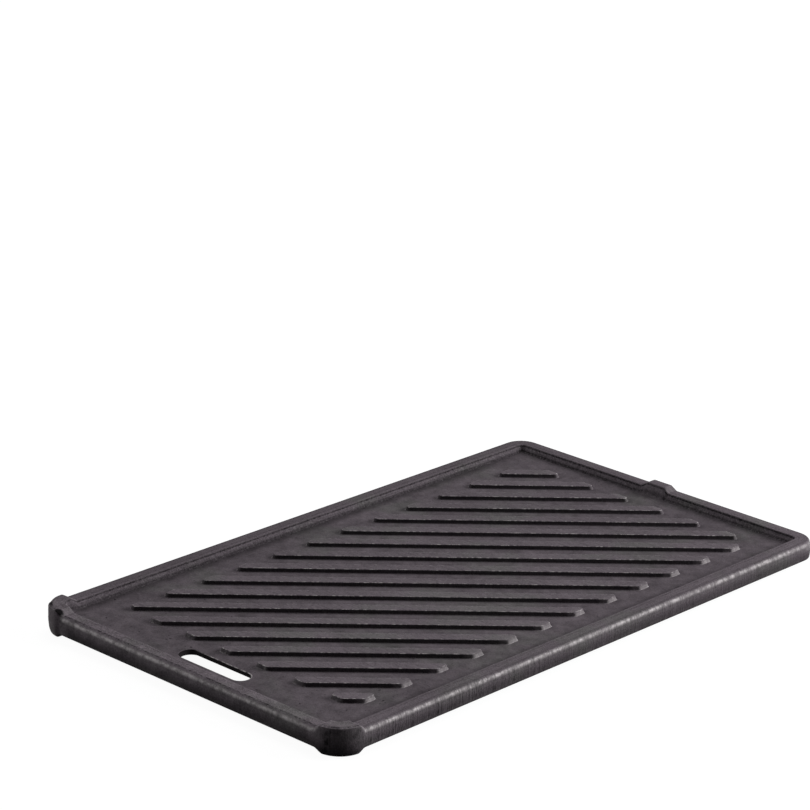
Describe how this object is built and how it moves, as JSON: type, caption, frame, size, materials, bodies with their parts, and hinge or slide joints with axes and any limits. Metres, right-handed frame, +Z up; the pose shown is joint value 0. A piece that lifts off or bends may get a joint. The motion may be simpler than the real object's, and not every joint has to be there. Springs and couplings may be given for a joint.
{
  "type": "reversible griddle plate",
  "caption": "Rectangular cast iron camp griddle plate, flat on one face and with diagonal searing ribs on the other, with a raised rim, corner feet and a drain slot.",
  "frame": {"origin": "on the ground under the middle of the plate, level with the lower pads of its feet", "axes": "+Z up out of the ribbed face, +Y along the plate from the slot end to the rear foot, +X to the right"},
  "size_m": [0.254, 0.432, 0.0174],
  "materials": {
    "cooking_surface": "seasoned, sandy satin",
    "sear_ribs": "seasoned, sandy satin",
    "rim": "ground and seasoned, satin",
    "feet": "ground and seasoned, satin"
  },
  "bodies": {
    "root": {"cooking_plate": "cooking_surface", "front_rim": "rim", "left_rim": "rim", "right_rim": "rim", "front_left_foot": "feet", "front_right_foot": "feet", "rear_foot": "feet", "sear_rib_01": "sear_ribs", "sear_rib_02": "sear_ribs", "sear_rib_03": "sear_ribs", "sear_rib_04": "sear_ribs", "sear_rib_05": "sear_ribs", "sear_rib_06": "sear_ribs", "sear_rib_07": "sear_ribs", "sear_rib_08": "sear_ribs", "sear_rib_09": "sear_ribs", "sear_rib_10": "sear_ribs", "sear_rib_11": "sear_ribs", "sear_rib_12": "sear_ribs", "sear_rib_13": "sear_ribs", "sear_rib_14": "sear_ribs", "sear_rib_15": "sear_ribs", "sear_rib_16": "sear_ribs", "sear_rib_17": "sear_ribs", "sear_rib_18": "sear_ribs"}
  },
  "joints": []
}
